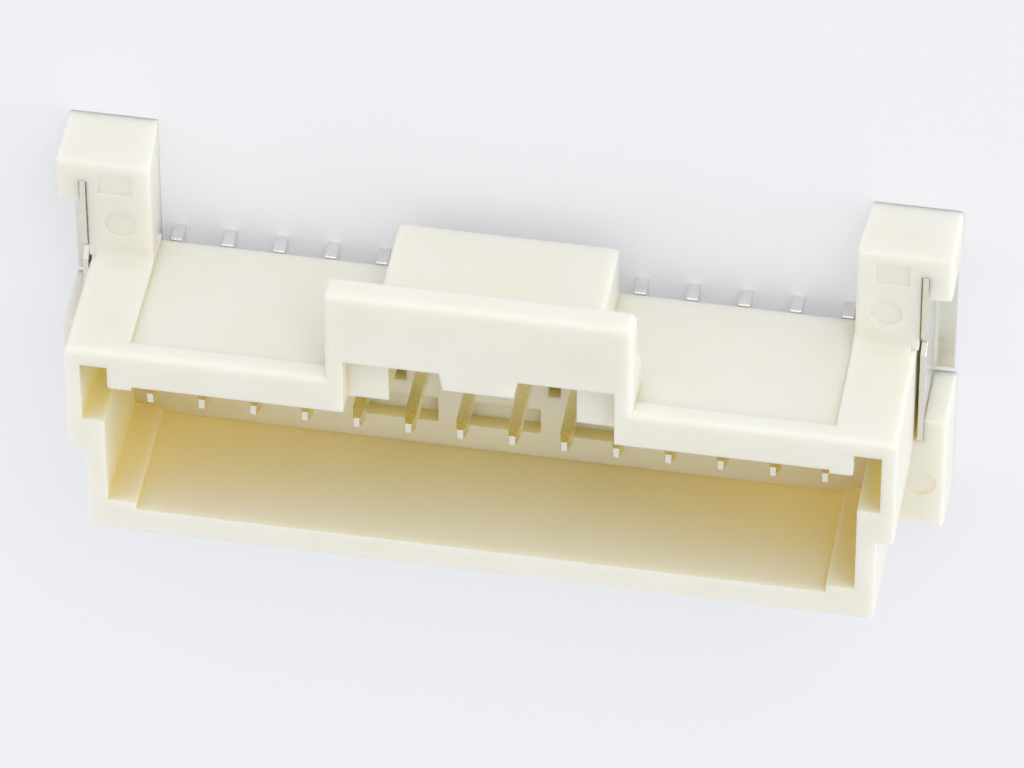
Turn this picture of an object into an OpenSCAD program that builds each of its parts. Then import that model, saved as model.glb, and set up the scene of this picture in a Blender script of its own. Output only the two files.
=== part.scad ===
// Shrouded single-row board header, standing on the face that is soldered to the board.
// X runs along the row of contacts, Y from the row towards the locking hood, and Z is the way
// the mating plug leaves. The origin lies on the board plane, under the middle of the row.

/* [Contacts] */
// Number of contacts in the row
contact_count = 14; // [10:1:20]
// Distance from one contact to the next
pitch = 2; // [1.8:0.05:2.4]
// Thickness of the strip that the contacts are blanked from
contact_t = 0.46; // [0.34:0.02:0.6]
// Height of a post across its blanked edges
post_h = 0.64; // [0.5:0.02:0.7]
// Distance from the mouth down to the tip of a post
tip_depth = 1.65; // [1:0.05:2.5]
// Length of the taper at the tip
tip_len = 0.5; // [0.3:0.05:0.8]
// Width of the flat end of the tip
tip_w = 0.24; // [0.1:0.02:0.32]
// Height of the flat end of the tip
tip_h = 0.46; // [0.2:0.02:0.48]
// Height of a solder tail above the board
tail_t = 0.95; // [0.5:0.05:1.1]
// Distance from the row to the end of a solder tail
tail_reach = 3.2; // [2:0.05:4]
// Radius inside the corner between a post and its tail
tail_fillet = 0.2; // [0.1:0.02:0.3]
// Radius round the heel of a contact
heel_round = 0.25; // [0.1:0.05:0.3]
// Radius on the edges at the end of a tail
tail_round = 0.1; // [0.04:0.02:0.14]
// Clearance between a post and its slot in the rear wall
contact_gap = 0.03; // [0.01:0.01:0.06]

/* [Shroud] */
// Height of the mouth above the board
mouth_z = 8.1; // [7.6:0.1:9]
// Depth of the cavity from the mouth to the rear wall
cavity_depth = 5.45; // [4.8:0.05:5.8]
// Distance from the solder tails up to the back of the rear wall
tail_room = 0.3; // [0.25:0.05:0.5]
// Distance from the end contacts to the ends of the cavity
end_room = 1.45; // [1.3:0.05:1.8]
// Distance that the ends of the ceiling stand in from the ends of the cavity
crown_inset = 0.19; // [0.05:0.01:0.4]
// Distance from the row to the cavity floor
floor_drop = 4.43; // [4.2:0.01:4.8]
// Thickness of the floor wall
floor_wall = 1.27; // [0.9:0.01:1.6]
// Distance from the row to the cavity ceiling
ceiling_rise = 2.09; // [1.8:0.01:2.3]
// Thickness of the ceiling wall at its front lip
ceiling_wall = 1.64; // [1.4:0.02:2]
// Thickness of the side walls below the keyways
side_wall = 0.78; // [0.6:0.02:1]
// Width of the guide rails along the ends of the floor and ceiling
rail_w = 1.1; // [0.6:0.05:1.2]
// Height of the guide rails on the floor
floor_rail = 0.35; // [0.1:0.05:0.5]
// Height of the guide rails under the ceiling
ceiling_rail = 0.18; // [0.1:0.02:0.4]
// Radius along the outer edges of the guide rails under the ceiling
rail_round = 0.12; // [0.04:0.02:0.2]
// Width of the front lip on top of the ceiling wall
lip_w = 0.75; // [0.4:0.05:1.2]
// Depth of the recess behind the front lip
lip_step = 0.32; // [0.1:0.02:0.5]
// Width of the raised strips at the ends of the ceiling wall
strip_w = 2.4; // [2.25:0.05:2.6]
// Radius along the bottom corners
base_round = 0.35; // [0.1:0.05:0.6]
// Radius along the top and bottom front edges
front_round = 0.25; // [0.1:0.05:0.4]

/* [Keyways] */
// Depth of a keyway beyond the end of the cavity
key_depth = 0.87; // [0.5:0.01:1.1]
// Height of a keyway
key_h = 2.85; // [2.2:0.05:3]
// Distance from the row to the bottom of a keyway
key_rise = 0.1; // [0:0.05:0.3]
// Thickness of the wall outside a keyway
key_wall = 0.56; // [0.4:0.02:0.8]
// Thickness of the wall below a keyway
key_floor = 1.59; // [1.3:0.01:2]
// Radius along the outer edges of the keyed part
key_round = 0.2; // [0.1:0.02:0.4]

/* [Flanges] */
// Thickness of the end flanges above the board
flange_t = 2.85; // [2:0.05:3.2]
// Draft of the flanges' inner faces, from the front to the board
flange_draft = 0.26; // [0.05:0.01:0.4]
// Radius along the upright front edges of the flanges
flange_edge = 0.2; // [0.1:0.02:0.3]
// Height of the wings above the ceiling wall
wing_rise = 4.74; // [4:0.02:5.5]
// Radius in the corner between a wing and the ceiling wall
wing_root = 0.4; // [0.1:0.05:0.6]
// Width of the arm outside the nail slot
arm_w = 0.89; // [0.6:0.01:1.3]
// Height of the arm outside the nail slot
arm_h = 2.03; // [1.5:0.01:2.6]
// Height of the bridge over the nail slot
bridge_h = 0.97; // [0.6:0.01:1.3]
// Distance from the base of the shroud up to the base of the lower block
block_lift = 0.22; // [0.1:0.02:0.6]
// Height of the lower block
block_h = 5.58; // [5:0.02:6]
// Depth of the nail slot in the lower block
grip_depth = 1.15; // [0.8:0.05:1.4]
// Radius along the outer corners of the flanges
flange_round = 0.15; // [0.05:0.01:0.3]
// Radius of the round ejector marks
mark_r = 0.62; // [0.4:0.02:0.8]
// Height of the upper ejector marks above the ceiling wall
mark_rise = 1.75; // [1.2:0.05:2]
// Depth of the ejector marks and the bare panels
mark_depth = 0.05; // [0.03:0.01:0.15]
// Width of the bare panel on a wing
panel_w = 1.3; // [1:0.05:1.5]
// Height of the bare panel on a wing
panel_h = 0.95; // [0.6:0.05:1.2]
// Distance from the inner face of a wing to the middle of its bare panel
panel_in = 1.39; // [1:0.01:1.5]

/* [Hood] */
// Thickness of the hood's front plate
hood_t = 0.95; // [0.7:0.05:1.3]
// Half of the hood's width
hood_x = 5.87; // [5.6:0.01:6.4]
// Width of the hood's legs
leg_w = 0.69; // [0.45:0.01:0.8]
// Height of the hood's top above the ceiling wall
hood_rise = 4.35; // [3.8:0.05:4.8]
// Height of the window between the ceiling wall's lip and the hood
window_rise = 0.97; // [0.7:0.01:1.2]
// Radius along the hood's top corners and its front edges
hood_round = 0.28; // [0.1:0.02:0.4]
// Depth of the web behind the hood's front plate
web_depth = 1.05; // [0.6:0.05:1.6]
// Height of the web behind the front plate, above the window
web_rise = 1.48; // [1:0.02:2]
// Height that the top of the web falls from the front plate to its back
web_fall = 1.38; // [0.6:0.02:1.6]
// Half of the catch's width where it leaves the hood
catch_x = 1.5; // [1:0.05:2]
// Height of the catch
catch_h = 0.84; // [0.5:0.02:0.9]
// Taper of the catch on each side
catch_taper = 0.15; // [0.05:0.01:0.4]
// Half of the width of the lock tunnel
tunnel_x = 3.6; // [3.2:0.02:4]
// Thickness of the tunnel's side walls
tunnel_wall = 0.66; // [0.3:0.02:0.8]
// Thickness of the tunnel's roof
roof_t = 0.98; // [0.6:0.02:1.4]
// Radius along the top edges of the tunnel's roof
roof_round = 0.2; // [0.1:0.05:0.5]

/* [Nails] */
// Thickness of the nails' sheet
nail_t = 0.23; // [0.15:0.01:0.3]
// Clearance between a nail and the side of the shroud
nail_gap_in = 0.14; // [0.11:0.01:0.18]
// Clearance between a nail and the wing that it passes
nail_gap_wing = 0.06; // [0.03:0.01:0.1]
// Clearance between a nail and the rest of its slot
nail_gap = 0.03; // [0.01:0.01:0.06]
// Outer bend radius between a nail's plate and its foot
nail_bend = 0.4; // [0.35:0.05:0.6]
// Height of a nail's barb above the ceiling wall
barb_rise = 0.6; // [0.3:0.05:1]
// Height of the notch below a nail's barb
barb_h = 0.9; // [0.5:0.05:1.2]
// Depth of the notch below a nail's barb
barb_depth = 0.35; // [0.1:0.05:0.6]
// Distance that a nail's foot ends short of the outer face of the flange
foot_inset = 0.1; // [0:0.02:0.3]
// Clearance of a nail's foot above the lower block
foot_low_gap = 0.4; // [0.2:0.05:0.8]
// Clearance of a nail's foot below the arm
foot_high_gap = 0.2; // [0.1:0.05:0.6]

/* [Rear wall] */
// Distance from a pair of posts to the sides of the pocket below it
pocket_room = 0.46; // [0.3:0.02:0.7]
// Height of a pocket
pocket_h = 1.28; // [0.8:0.02:1.6]
// Distance from the row to the middle of the pockets
pocket_drop = 2.56; // [2.2:0.02:2.9]
// Depth of a pocket in the rear wall
pocket_depth = 0.6; // [0.2:0.05:0.8]
// Width of a well between two posts
well_w = 0.48; // [0.3:0.02:0.7]
// Height of a well
well_h = 0.6; // [0.4:0.02:0.7]
// Distance from the row to the middle of the wells
well_drop = 0.88; // [0.75:0.01:1.1]
// Depth of a well in the rear wall
well_depth = 1; // [0.4:0.05:1.2]

/* [Hidden] */
$fn = 48;
// Number of steps in the arc of a rounded corner
arc_steps = 6;
// Overshoot of a cut past the face that it opens
past = 1;

function contact_name(i) = str("contact_", i < 10 ? "0" : "", i);
function contact_x(i) = (i - 1) * pitch - row_half;

row_half = (contact_count - 1) * pitch / 2;
tip_z = mouth_z - tip_depth;
standoff = tail_t + tail_room;

cavity_x = row_half + end_room;
crown_x = cavity_x - crown_inset;
rail_x = cavity_x - rail_w;
low_x = cavity_x + side_wall;
key_x = cavity_x + key_depth;
up_x = key_x + key_wall;
strip_x = up_x - strip_w;
back_z = mouth_z - cavity_depth;

floor_y = -floor_drop;
base_y = floor_y - floor_wall;
ceiling_y = ceiling_rise;
lip_y = ceiling_y + ceiling_wall;
recess_y = lip_y - lip_step;
key_top = key_rise + key_h;
step_y = key_rise - key_floor;

nail_in = up_x + nail_gap_in;
nail_out = nail_in + nail_t;
slot_in = nail_in - nail_gap_wing;
slot_x = nail_out + nail_gap;
flange_x = slot_x + arm_w;
wing_y = lip_y + wing_rise;
arm_y = wing_y - arm_h;
slot_top = wing_y - bridge_h;
block_y = base_y + block_lift;
block_top = block_y + block_h;
slot_base = block_top - grip_depth;

hood_z = mouth_z - hood_t;
leg_x = hood_x - leg_w;
hood_y = lip_y + hood_rise;
window_y = lip_y + window_rise;
web_y = window_y + web_rise;
web_z = hood_z - web_depth;
roof_x = tunnel_x + tunnel_wall;
barb_y = lip_y + barb_rise;

// Direction of a plane vector
function unit(v) = v / norm(v);

// Points of the arc of radius b[2] that rounds corner b between its neighbours a and c
function corner_arc(a, b, c) =
    let (
        at = [b.x, b.y],
        to_a = unit([a.x, a.y] - at),
        to_c = unit([c.x, c.y] - at),
        half = acos(to_a * to_c) / 2,
        centre = at + unit(to_a + to_c) * b[2] / sin(half),
        first = at + to_a * b[2] / tan(half) - centre,
        turn = (180 - 2 * half) * sign(cross(to_c, to_a)),
        start = atan2(first.y, first.x)
    )
    [for (i = [0:arc_steps]) centre + b[2] * [cos(start + turn * i / arc_steps), sin(start + turn * i / arc_steps)]];

// Outline through corners [x, y, radius], where a corner with no radius stays sharp
function rounded(corners) =
    let (n = len(corners))
    [for (i = [0:n - 1]) each
        corners[i][2] > 0
            ? corner_arc(corners[(i + n - 1) % n], corners[i], corners[(i + 1) % n])
            : [[corners[i].x, corners[i].y]]];

// Whole outline from its right half, given from the bottom to the top
function both_halves(right) =
    concat(right, [for (i = [len(right) - 1:-1:0]) [-right[i].x, right[i].y, right[i][2]]]);

// Rectangle between two corners, with one radius on its corners
function box_outline(low, high, r = 0) =
    [[low.x, low.y, r], [high.x, low.y, r], [high.x, high.y, r], [low.x, high.y, r]];

// Outline of X and Y, extruded along Z
module along_z(outline, from, to) {
    translate([0, 0, from]) linear_extrude(to - from) polygon(rounded(outline));
}

// Outline of Y and Z, extruded along X
module along_x(outline, from, to) {
    translate([from, 0, 0]) rotate([90, 0, 90]) linear_extrude(to - from) polygon(rounded(outline));
}

// Outline of X and Z, extruded along Y
module along_y(outline, from, to) {
    translate([0, to, 0]) rotate([90, 0, 0]) linear_extrude(to - from) polygon(rounded(outline));
}

module both_sides() {
    children();
    mirror([1, 0, 0]) children();
}

// Outer walls, with rounded front edges and the recess behind the front lip
module shroud_walls() {
    difference() {
        intersection() {
            along_z(both_halves([
                [low_x, base_y, base_round],
                [low_x, step_y, 0],
                [up_x, step_y, key_round],
                [up_x, lip_y, key_round]
            ]), standoff, mouth_z);
            along_x([
                [base_y, standoff, 0],
                [base_y, mouth_z, front_round],
                [lip_y, mouth_z, front_round],
                [lip_y, standoff, 0]
            ], -up_x, up_x);
        }
        along_z(box_outline([-strip_x, recess_y], [strip_x, lip_y + past]), standoff - past, mouth_z - lip_w);
    }
}

// Space for the plug: the cavity with its guide rails and the keyways at its ends
module plug_space() {
    along_z(both_halves([
        [rail_x, floor_y, 0],
        [rail_x, floor_y + floor_rail, 0],
        [cavity_x, floor_y + floor_rail, 0],
        [cavity_x, key_rise, 0],
        [key_x, key_rise, 0],
        [key_x, key_top, 0],
        [crown_x, key_top, 0],
        [crown_x, ceiling_y - ceiling_rail, rail_round],
        [rail_x, ceiling_y - ceiling_rail, 0],
        [rail_x, ceiling_y, 0]
    ]), back_z, mouth_z + past);
}

// Right-hand flange: the wing, the lower block and the slot that holds the nail between them
module flange() {
    difference() {
        intersection() {
            along_z([
                [strip_x, block_y, 0],
                [flange_x, block_y, flange_round],
                [flange_x, block_top, flange_round],
                [slot_x, block_top, 0],
                [slot_x, slot_base, 0],
                [up_x, slot_base, 0],
                [up_x, lip_y, 0],
                [slot_in, lip_y, 0],
                [slot_in, slot_top, 0],
                [slot_x, slot_top, 0],
                [slot_x, arm_y, 0],
                [flange_x, arm_y, flange_round],
                [flange_x, wing_y, flange_round],
                [strip_x, wing_y, flange_round]
            ], 0, flange_t);
            along_y([
                [strip_x + flange_draft, 0, 0],
                [flange_x, 0, 0],
                [flange_x, flange_t, flange_edge],
                [strip_x, flange_t, flange_edge]
            ], block_y, wing_y);
        }
        flange_marks();
    }
    wing_fillet();
}

// Fillet between the front of a wing and the ceiling wall
module wing_fillet() {
    along_x([
        [recess_y, flange_t - flange_edge, 0],
        [recess_y, flange_t + wing_root, 0],
        [lip_y, flange_t + wing_root, 0],
        [lip_y, flange_t, wing_root],
        [lip_y + wing_root, flange_t, 0],
        [lip_y + wing_root, flange_t - flange_edge, 0]
    ], strip_x, up_x - key_round);
}

// Shallow round ejector marks and the bare panel on the front of a flange
module flange_marks() {
    wing_mid = (strip_x + up_x) / 2;
    block_mid = (low_x + flange_x) / 2;
    for (centre = [[wing_mid, lip_y + mark_rise], [block_mid, (block_y + slot_base) / 2]]) {
        translate([centre.x, centre.y, flange_t - mark_depth]) cylinder(r = mark_r, h = past);
    }
    panel_mid = [strip_x + panel_in, (arm_y + wing_y) / 2];
    panel_half = [panel_w, panel_h] / 2;
    along_z(box_outline(panel_mid - panel_half, panel_mid + panel_half), flange_t - mark_depth, flange_t + past);
}

// Roof and side walls of the lock tunnel
module tunnel_roof() {
    along_z(both_halves([[roof_x, ceiling_y, 0], [roof_x, window_y + roof_t, roof_round]]), standoff, hood_z);
}

// Way for the plug's latch: the window under the hood and the tunnel behind it
module latch_space() {
    along_z(box_outline([-leg_x, ceiling_y - ceiling_rail], [leg_x, window_y]), hood_z, mouth_z + past);
    along_z(box_outline([-tunnel_x, ceiling_y - ceiling_rail], [tunnel_x, window_y]), back_z, mouth_z);
}

// Web behind the hood's front plate, which closes the window beside the tunnel
module hood_web() {
    along_x([
        [ceiling_y, web_z, 0],
        [web_y - web_fall, web_z, 0],
        [web_y, hood_z, 0],
        [ceiling_y, hood_z, 0]
    ], -hood_x, hood_x);
}

// Front plate of the hood with its two legs and the catch that hangs between them
module hood() {
    intersection() {
        along_z(concat(
            both_halves([
                [leg_x, ceiling_y, 0],
                [hood_x, ceiling_y, 0],
                [hood_x, hood_y, hood_round]
            ]),
            [
                [-leg_x, window_y, 0],
                [-catch_x, window_y, 0],
                [catch_taper - catch_x, window_y - catch_h, 0],
                [catch_x - catch_taper, window_y - catch_h, 0],
                [catch_x, window_y, 0],
                [leg_x, window_y, 0]
            ]
        ), hood_z, mouth_z);
        along_x([
            [ceiling_y, hood_z, 0],
            [hood_y, hood_z, 0],
            [hood_y, mouth_z, hood_round],
            [ceiling_y, mouth_z, 0]
        ], -hood_x, hood_x);
        along_y(both_halves([[hood_x, hood_z, 0], [hood_x, mouth_z, hood_round]]), ceiling_y, hood_y);
    }
}

// Rectangular cut into the rear wall, down to the height that is given
module wall_cut(middle, size, down_to) {
    along_z(box_outline(middle - size / 2, middle + size / 2), down_to, back_z + past);
}

// Slots for the posts, wells between the posts, and a pocket below each pair of posts
module wall_cuts() {
    slot_size = [contact_t, post_h] + 2 * [contact_gap, contact_gap];
    for (i = [1:contact_count]) {
        wall_cut([contact_x(i), 0], slot_size, standoff - past);
    }
    for (i = [1:contact_count - 1]) {
        wall_cut([contact_x(i) + pitch / 2, -well_drop], [well_w, well_h], back_z - well_depth);
    }
    for (i = [1:2:contact_count - 1]) {
        wall_cut([contact_x(i) + pitch / 2, -pocket_drop], [pitch + 2 * pocket_room, pocket_h], back_z - pocket_depth);
    }
}

module housing() {
    color("ivory") {
        difference() {
            union() {
                shroud_walls();
                both_sides() flange();
                tunnel_roof();
                hood_web();
            }
            plug_space();
            latch_space();
            wall_cuts();
        }
        hood();
    }
}

// Contact blanked from strip: a straight post with a tapered tip and a tail along the board
module contact() {
    color("silver") intersection() {
        along_x([
            [-post_h / 2, 0, heel_round],
            [tail_reach, 0, tail_round],
            [tail_reach, tail_t, tail_round],
            [post_h / 2, tail_t, tail_fillet],
            [post_h / 2, tip_z - tip_len, 0],
            [tip_h / 2, tip_z, 0],
            [-tip_h / 2, tip_z, 0],
            [-post_h / 2, tip_z - tip_len, 0]
        ], -contact_t / 2, contact_t / 2);
        along_y(both_halves([
            [contact_t / 2, 0, 0],
            [contact_t / 2, tip_z - tip_len, 0],
            [tip_w / 2, tip_z, 0]
        ]), -post_h, tail_reach);
    }
}

// Right-hand nail: a plate that stands in the flange's slot, bent outwards into a foot on the board
module nail() {
    plate_low = slot_base + nail_gap;
    plate_high = slot_top - nail_gap;
    foot_low = block_top + foot_low_gap;
    foot_high = arm_y - foot_high_gap;
    foot_x = flange_x - foot_inset;
    color("silver") intersection() {
        along_y([
            [nail_in, 0, nail_bend],
            [foot_x, 0, 0],
            [foot_x, nail_t, 0],
            [nail_out, nail_t, nail_bend - nail_t],
            [nail_out, flange_t, 0],
            [nail_in, flange_t, 0]
        ], plate_low, plate_high);
        along_x([
            [foot_low, 0, 0],
            [foot_high, 0, 0],
            [foot_high, nail_bend, 0],
            [plate_high, nail_bend, 0],
            [plate_high, flange_t, 0],
            [barb_y, flange_t, 0],
            [barb_y - barb_h / 2, flange_t - barb_depth, 0],
            [barb_y - barb_h, flange_t, 0],
            [plate_low, flange_t, 0],
            [plate_low, nail_bend, 0],
            [foot_low, nail_bend, 0]
        ], nail_in, foot_x);
    }
}

module nail_right() {
    nail();
}

module nail_left() {
    mirror([1, 0, 0]) nail();
}

housing();
nail_left();
nail_right();
for (i = [1:contact_count])
    translate([contact_x(i), 0, 0]) contact();
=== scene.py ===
"""Looks of a shrouded pin header: moulded cream plastic, tin-plated contacts and board nails."""

import math

import bpy
from mathutils import Matrix, Vector


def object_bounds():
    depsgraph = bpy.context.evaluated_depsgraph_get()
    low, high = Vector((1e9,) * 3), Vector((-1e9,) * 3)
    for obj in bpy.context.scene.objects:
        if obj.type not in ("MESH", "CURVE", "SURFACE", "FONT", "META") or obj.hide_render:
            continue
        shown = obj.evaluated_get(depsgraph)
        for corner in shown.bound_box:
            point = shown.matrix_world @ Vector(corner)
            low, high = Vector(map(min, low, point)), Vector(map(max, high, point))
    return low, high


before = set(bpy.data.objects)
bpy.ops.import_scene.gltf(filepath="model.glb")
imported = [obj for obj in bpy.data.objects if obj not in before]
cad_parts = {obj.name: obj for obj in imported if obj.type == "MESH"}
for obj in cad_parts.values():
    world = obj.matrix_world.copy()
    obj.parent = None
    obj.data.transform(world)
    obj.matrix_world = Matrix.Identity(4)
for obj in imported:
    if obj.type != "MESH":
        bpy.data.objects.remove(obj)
cad_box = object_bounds()

MM = 0.001

# Camera, fitted to the photograph. Its steps say how far the middle of the row at the mouth lies
# to the right of the picture's middle and below it.
CAMERA_ELEVATION = math.radians(44.0)
CAMERA_AZIMUTH = math.radians(9.92)
CAMERA_ROLL = math.radians(-0.234)
CAMERA_DISTANCE = 340.37 * MM
CAMERA_RIGHT_STEP = -1.265 * MM
CAMERA_DOWN_STEP = 3.178 * MM
CAMERA_NEAREST = 0.01
CAMERA_FARTHEST = 10.0
SENSOR_WIDTH_MM = 36.0
LENS_MM = 316.4

# Radius that breaks the edges of each piece
HOUSING_EDGE = 0.11 * MM
CONTACT_EDGE = 0.03 * MM
NAIL_EDGE = 0.025 * MM

# Steps across a broken edge, the least angle of a sharp edge and the most within a flat face, and
# the distance under which points are one
EDGE_SEGMENTS = 3
EDGE_ANGLE = math.radians(32)
FLAT_ANGLE = math.radians(1)
WELD_DISTANCE = 0.0005 * MM

# Colours, in linear light
CREAM = (0.86, 0.845, 0.77, 1)
# Tan: the plastic's own mottle, and painted shade in the hollows
TAN = (0.73, 0.63, 0.30, 1)
# Honey: a painted glow of light through thin walls
HONEY = (0.98, 0.80, 0.43, 1)
TIN = (0.86, 0.86, 0.85, 1)
TIN_CLOUDED = (0.80, 0.795, 0.77, 1)
# Dull tin: partly the duller cut tips, partly painted shade on faces turned to the mouth
TIN_DULL_SHADED = (0.70, 0.69, 0.62, 1)
# Warm tin: a painted reflection of the cream plastic on the posts
TIN_WARM_REFLECTION = (0.95, 0.88, 0.54, 1)
FLOOR = (0.90, 0.908, 0.94, 1)
BACKDROP = (0.93, 0.938, 0.98, 1)
SKY = (0.98, 0.985, 1.0, 1)

# Reach of the rays that find hollows in the housing and narrow gaps beside it, and their number
HOLLOW_REACH = 30.0 * MM
HOLLOW_RAYS = 6
GAP_REACH = 0.5 * MM
GAP_RAYS = 3

# Openness at which the painted tan shade, the painted honey glow and the longer scatter start, and at
# which each is full
SHADE_OPENNESS = (0.48, 0.22)
GLOW_OPENNESS = (0.25, 0.11)
SCATTER_OPENNESS = (0.24, 0.12)

# Distance from the middle of the row over which the painted honey glow comes in
GLOW_DISTANCE = (4.0 * MM, 11.0 * MM)

# Plastic: how far light scatters in it, in the open and in hollows, and for red, green and blue
SCATTER_LENGTH = (0.6 * MM, 3.0 * MM)
SCATTER_RADIUS = (1.0, 0.95, 0.85)

# Plastic: clouds and grain in cycles per metre, and what they do to its colour and surface
PLASTIC_CLOUD_SCALE = 420.0
PLASTIC_CLOUD_DETAIL = 1.0
MOTTLE_SPAN = (0.35, 0.75)
MOTTLE_SHARE = (0.0, 0.10)
SATIN_SPAN = (0.3, 0.7)
SATIN_ROUGHNESS = (0.40, 0.50)
PLASTIC_SPECULAR = 0.3
GRAIN_SCALE = 16000.0
GRAIN_DETAIL = 0.0
GRAIN_STRENGTH = 0.12
GRAIN_HEIGHT = 0.01 * MM

# Tin: clouds and drawn marks in cycles per metre, and what they do to its colour and surface
TIN_CLOUD_SCALE = 1500.0
TIN_CLOUD_DETAIL = 3.0
TIN_CLOUD_SPAN = (0.35, 0.7)
MARK_SCALE = 9000.0
MARK_DETAIL = 4.0
MARK_SPAN = (0.3, 0.7)
MARK_STRENGTH = 0.04
MARK_HEIGHT = 0.003 * MM
MARK_SMOOTHER = 0.04
MARK_ROUGHER = 0.08

# Tin: how far a face turns to the mouth as it goes darker, partly duller cut tips and partly painted
# shade, and the heights over which posts take a painted warm reflection
DULL_SHADE_FACING = (0.3, 0.8)
POST_REFLECTION_HEIGHT = (2.0 * MM, 2.5 * MM)

# Tin: roughness of each kind of piece, and the stretch of its marks along the metal
CONTACT_ROUGHNESS = 0.24
CONTACT_STRETCH = (1.0, 1.0, 0.15)
NAIL_ROUGHNESS = 0.28
NAIL_STRETCH = (1.0, 0.15, 1.0)

# Floor, with the drop that keeps it clear of the part and the share that shows as plain backdrop
FLOOR_HALF = 2.0
FLOOR_DROP = 0.01 * MM
FLOOR_ROUGHNESS = 0.9
FLOOR_SPECULAR = 0.1
BACKDROP_SHARE = 0.35

# Light of the sky on the part, and of each lamp: the way to it, its level and its width in degrees
SKY_LIGHT = 0.78
LAMPS = {
    "key": ((0.35, 0.74, 0.57), 0.13, 25),
    "top": ((0.1, 0.95, 0.26), 0.11, 40),
    "side": ((0.997, 0.04, 0.06), 0.35, 30),
    "fill": ((-0.45, 0.35, 0.82), 0.04, 40),
}

# Range of a share
WHOLE = (0.0, 1.0)

# Sockets of the mix node that hold colours, which share their names with those for numbers
MIX_FIRST = 6
MIX_SECOND = 7
MIX_RESULT = 2


def new_material(name):
    """Material with an empty node tree, its Principled shader and its output."""
    material = bpy.data.materials.new(name)
    material.use_nodes = True
    tree = material.node_tree
    tree.nodes.clear()
    shader = tree.nodes.new("ShaderNodeBsdfPrincipled")
    output = tree.nodes.new("ShaderNodeOutputMaterial")
    tree.links.new(shader.outputs["BSDF"], output.inputs["Surface"])
    return material, tree, shader


def add(tree, kind, **values):
    """Node of that kind, with values for its inputs by name."""
    node = tree.nodes.new(kind)
    for name, value in values.items():
        node.inputs[name].default_value = value
    return node


def noise(tree, vector, scale, detail):
    """Noise over a vector, with scale in cycles per metre."""
    node = add(tree, "ShaderNodeTexNoise", Scale=scale, Detail=detail)
    tree.links.new(vector, node.inputs["Vector"])
    return node.outputs["Fac"]


def axis(tree, vector, name):
    """One axis of a vector."""
    node = tree.nodes.new("ShaderNodeSeparateXYZ")
    tree.links.new(vector, node.inputs["Vector"])
    return node.outputs[name]


def ramp(tree, source, span, to=WHOLE):
    """Map of a number from one range to another, held at its ends."""
    node = tree.nodes.new("ShaderNodeMapRange")
    for name, value in zip(("From Min", "From Max", "To Min", "To Max"), span + to):
        node.inputs[name].default_value = value
    tree.links.new(source, node.inputs["Value"])
    return node.outputs["Result"]


def math_node(tree, operation, *sources):
    """Result of one operation on numbers from other nodes."""
    node = tree.nodes.new("ShaderNodeMath")
    node.operation = operation
    for source, socket in zip(sources, node.inputs):
        tree.links.new(source, socket)
    return node.outputs["Value"]


def blend(tree, share, first, second):
    """Mix of two colours, each a value or a socket."""
    node = tree.nodes.new("ShaderNodeMix")
    node.data_type = "RGBA"
    tree.links.new(share, node.inputs["Factor"])
    for place, colour in ((MIX_FIRST, first), (MIX_SECOND, second)):
        if isinstance(colour, tuple):
            node.inputs[place].default_value = colour
        else:
            tree.links.new(colour, node.inputs[place])
    return node.outputs[MIX_RESULT]


def mix_shaders(tree, share, first, second):
    """Surface that is the second of two shaders by that share, and otherwise the first."""
    node = tree.nodes.new("ShaderNodeMixShader")
    for source, socket in zip((share, first, second), node.inputs):
        tree.links.new(source, socket)
    return node.outputs["Shader"]


def openness(tree, reach, rays, only_local):
    """1 where nothing is near, falling to 0 where the piece itself, or any piece, shuts a place in."""
    node = add(tree, "ShaderNodeAmbientOcclusion", Distance=reach)
    node.samples = rays
    node.only_local = only_local
    return node.outputs["AO"]


def bump(tree, height, strength, distance):
    """Normal of a surface with that fine relief."""
    node = add(tree, "ShaderNodeBump", Strength=strength, Distance=distance)
    tree.links.new(height, node.inputs["Height"])
    return node.outputs["Normal"]


def backdrop_rays(tree):
    """1 for the rays that show the backdrop: from the camera, off gloss and through glass."""
    rays = tree.nodes.new("ShaderNodeLightPath")
    seen = rays.outputs["Is Camera Ray"]
    for name in ("Is Glossy Ray", "Is Transmission Ray"):
        seen = math_node(tree, "MAXIMUM", seen, rays.outputs[name])
    return seen


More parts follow.
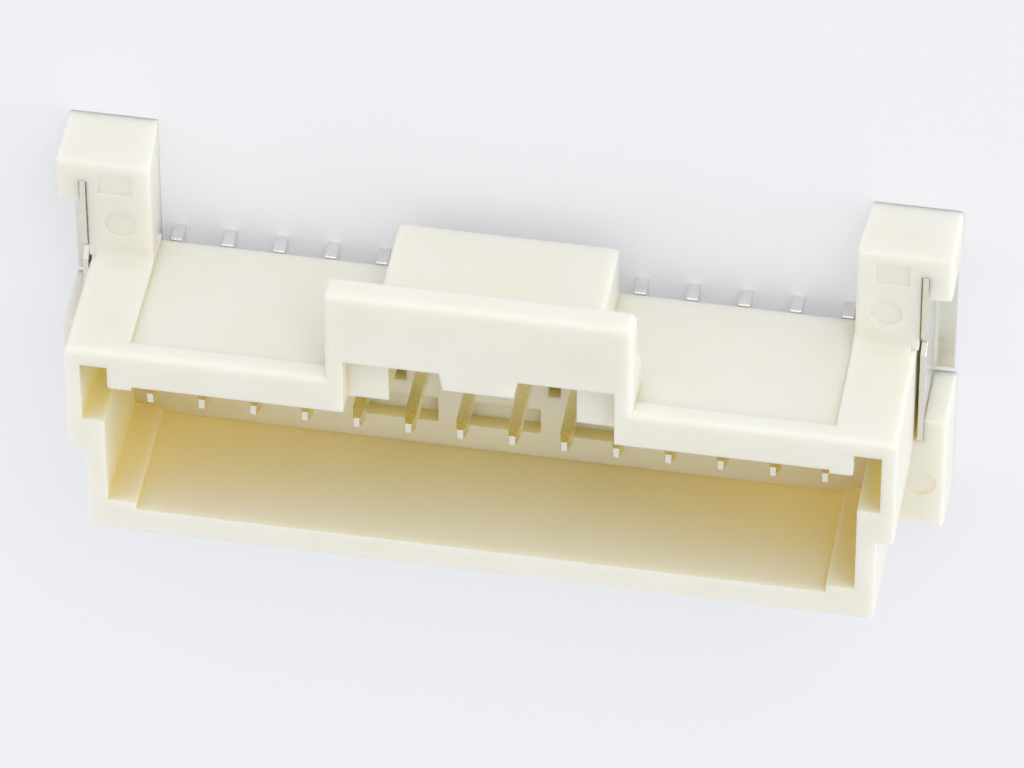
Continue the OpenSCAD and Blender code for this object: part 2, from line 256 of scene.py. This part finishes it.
def plastic():
    """Moulded cream plastic, with painted shade in tan in the hollows and a painted honey glow where
    light comes through thin end walls.
    """
    material, tree, shader = new_material("cream_plastic")
    place = tree.nodes.new("ShaderNodeTexCoord").outputs["Object"]
    hollow = openness(tree, HOLLOW_REACH, HOLLOW_RAYS, only_local=True)
    gap = openness(tree, GAP_REACH, GAP_RAYS, only_local=False)
    shut = math_node(tree, "MINIMUM", hollow, gap)
    ends = ramp(tree, math_node(tree, "ABSOLUTE", axis(tree, place, "X")), GLOW_DISTANCE)
    # Painted shade: tan where the housing shuts a place in
    painted_hollow_shade = ramp(tree, hollow, SHADE_OPENNESS)
    # Painted glow: honey in the narrowest hollows towards the ends of the row
    painted_glow = math_node(tree, "MULTIPLY", ramp(tree, shut, GLOW_OPENNESS), ends)
    cloud = noise(tree, place, PLASTIC_CLOUD_SCALE, PLASTIC_CLOUD_DETAIL)
    grain = noise(tree, place, GRAIN_SCALE, GRAIN_DETAIL)
    base = blend(tree, painted_glow, blend(tree, painted_hollow_shade, CREAM, TAN), HONEY)
    mottled = blend(tree, ramp(tree, cloud, MOTTLE_SPAN, MOTTLE_SHARE), base, TAN)
    satin = ramp(tree, cloud, SATIN_SPAN, SATIN_ROUGHNESS)
    scatter = ramp(tree, shut, SCATTER_OPENNESS, SCATTER_LENGTH)
    tree.links.new(mottled, shader.inputs["Base Color"])
    tree.links.new(satin, shader.inputs["Roughness"])
    tree.links.new(bump(tree, grain, GRAIN_STRENGTH, GRAIN_HEIGHT), shader.inputs["Normal"])
    tree.links.new(scatter, shader.inputs["Subsurface Scale"])
    shader.inputs["Subsurface Weight"].default_value = 1.0
    shader.inputs["Subsurface Radius"].default_value = SCATTER_RADIUS
    shader.inputs["Specular IOR Level"].default_value = PLASTIC_SPECULAR
    return material


def tin(name, roughness, stretch, reflection_height=None):
    """Tin plating with drawn marks, darker on faces towards the mouth (duller cut tips and painted
    shade) and, if asked, with a painted warm reflection high up.
    """
    material, tree, shader = new_material(name)
    coordinates = tree.nodes.new("ShaderNodeTexCoord")
    place = coordinates.outputs["Object"]
    stretched = add(tree, "ShaderNodeMapping", Scale=stretch)
    tree.links.new(place, stretched.inputs["Vector"])
    marks = noise(tree, stretched.outputs["Vector"], MARK_SCALE, MARK_DETAIL)
    cloud = noise(tree, place, TIN_CLOUD_SCALE, TIN_CLOUD_DETAIL)
    plated = blend(tree, ramp(tree, cloud, TIN_CLOUD_SPAN), TIN, TIN_CLOUDED)
    # Painted reflection: the posts go warm above that height, as if mirroring the plastic
    if reflection_height is not None:
        plated = blend(tree, ramp(tree, axis(tree, place, "Z"), reflection_height), plated, TIN_WARM_REFLECTION)
    # Partly the duller cut tips, partly painted shade: darker tin on faces turned to the mouth
    dull_and_shade = ramp(tree, axis(tree, coordinates.outputs["Normal"], "Z"), DULL_SHADE_FACING)
    satin = ramp(tree, marks, MARK_SPAN, (roughness - MARK_SMOOTHER, roughness + MARK_ROUGHER))
    tree.links.new(blend(tree, dull_and_shade, plated, TIN_DULL_SHADED), shader.inputs["Base Color"])
    tree.links.new(satin, shader.inputs["Roughness"])
    tree.links.new(bump(tree, marks, MARK_STRENGTH, MARK_HEIGHT), shader.inputs["Normal"])
    shader.inputs["Metallic"].default_value = 1.0
    return material


def break_edges(piece, width):
    """Rounds the sharp edges of a piece and leaves its flat faces flat."""
    weld = piece.modifiers.new("weld", "WELD")
    weld.merge_threshold = WELD_DISTANCE
    flat = piece.modifiers.new("flat", "DECIMATE")
    flat.decimate_type = "DISSOLVE"
    flat.angle_limit = FLAT_ANGLE
    edges = piece.modifiers.new("edges", "BEVEL")
    edges.width = width
    edges.segments = EDGE_SEGMENTS
    edges.limit_method = "ANGLE"
    edges.angle_limit = EDGE_ANGLE
    edges.harden_normals = True


def dress(piece, material, edge):
    """Gives a node its material and breaks its edges."""
    piece.data.materials.clear()
    piece.data.materials.append(material)
    break_edges(piece, edge)


def dress_part():
    """Dresses each node in the looks of its kind, which is the first word of its name."""
    cream_plastic = plastic()
    contact_tin = tin("contact_tin", CONTACT_ROUGHNESS, CONTACT_STRETCH, POST_REFLECTION_HEIGHT)
    nail_tin = tin("nail_tin", NAIL_ROUGHNESS, NAIL_STRETCH)
    looks = {
        "housing": (cream_plastic, HOUSING_EDGE),
        "contact": (contact_tin, CONTACT_EDGE),
        "nail": (nail_tin, NAIL_EDGE),
    }
    for name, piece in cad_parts.items():
        kind = name.split("_")[0]
        material, edge = looks[kind]
        dress(piece, material, edge)


def make_floor():
    """Plain pale floor under the part, which keeps its shadow."""
    half = FLOOR_HALF
    mesh = bpy.data.meshes.new("floor")
    corners = [(-half, -half, 0), (half, -half, 0), (half, half, 0), (-half, half, 0)]
    mesh.from_pydata(corners, [], [(0, 1, 2, 3)])
    floor = bpy.data.objects.new("floor", mesh)
    floor.location.z = cad_box[0].z - FLOOR_DROP
    bpy.context.scene.collection.objects.link(floor)
    material, tree, shader = new_material("floor")
    shader.inputs["Base Color"].default_value = FLOOR
    shader.inputs["Roughness"].default_value = FLOOR_ROUGHNESS
    shader.inputs["Specular IOR Level"].default_value = FLOOR_SPECULAR
    plain = add(tree, "ShaderNodeEmission", Color=BACKDROP)
    share = ramp(tree, backdrop_rays(tree), WHOLE, (0.0, BACKDROP_SHARE))
    both = mix_shaders(tree, share, shader.outputs["BSDF"], plain.outputs["Emission"])
    tree.links.new(both, tree.nodes["Material Output"].inputs["Surface"])
    mesh.materials.append(material)


def make_world():
    """Plain sky, which lights the part softly and shows as a white backdrop."""
    world = bpy.data.worlds.new("studio")
    bpy.context.scene.world = world
    world.use_nodes = True
    tree = world.node_tree
    sky = tree.nodes["Background"]
    sky.inputs["Color"].default_value = SKY
    strength = ramp(tree, backdrop_rays(tree), WHOLE, (SKY_LIGHT, 1.0))
    tree.links.new(strength, sky.inputs["Strength"])


def make_lamp(name, direction, level, spread):
    """Soft lamp far away, where a level of 1 lights a facing surface to its own colour."""
    data = bpy.data.lights.new(name, "SUN")
    data.energy = level * math.pi
    data.angle = math.radians(spread)
    lamp = bpy.data.objects.new(name, data)
    away = Vector(direction).normalized()
    lamp.location = away
    lamp.rotation_mode = "QUATERNION"
    lamp.rotation_quaternion = away.to_track_quat("Z", "Y")
    bpy.context.scene.collection.objects.link(lamp)


def make_lamps():
    """Makes each of the studio's lamps."""
    for name, (direction, level, spread) in LAMPS.items():
        make_lamp(name, direction, level, spread)


def make_camera():
    """Camera at the photograph's viewing angle, looking down at the mouth from the hood's side."""
    across = math.cos(CAMERA_ELEVATION)
    forward = Vector((
        -math.sin(CAMERA_AZIMUTH) * across,
        -math.sin(CAMERA_ELEVATION),
        -math.cos(CAMERA_AZIMUTH) * across,
    ))
    level_right = Vector((math.cos(CAMERA_AZIMUTH), 0, -math.sin(CAMERA_AZIMUTH)))
    level_down = forward.cross(level_right)
    right = math.cos(CAMERA_ROLL) * level_right - math.sin(CAMERA_ROLL) * level_down
    down = math.sin(CAMERA_ROLL) * level_right + math.cos(CAMERA_ROLL) * level_down
    row_at_mouth = Vector((0, 0, cad_box[1].z))
    middle_of_view = row_at_mouth - right * CAMERA_RIGHT_STEP - down * CAMERA_DOWN_STEP
    place = middle_of_view - forward * CAMERA_DISTANCE
    data = bpy.data.cameras.new("camera")
    data.sensor_width = SENSOR_WIDTH_MM
    data.lens = LENS_MM
    data.clip_start = CAMERA_NEAREST
    data.clip_end = CAMERA_FARTHEST
    camera = bpy.data.objects.new("camera", data)
    turn = Matrix((right, -down, -forward)).transposed()
    camera.matrix_world = Matrix.Translation(place) @ turn.to_4x4()
    bpy.context.scene.collection.objects.link(camera)
    bpy.context.scene.camera = camera


make_camera()
dress_part()
make_floor()
make_world()
make_lamps()
bpy.context.scene.view_settings.view_transform = "Standard"
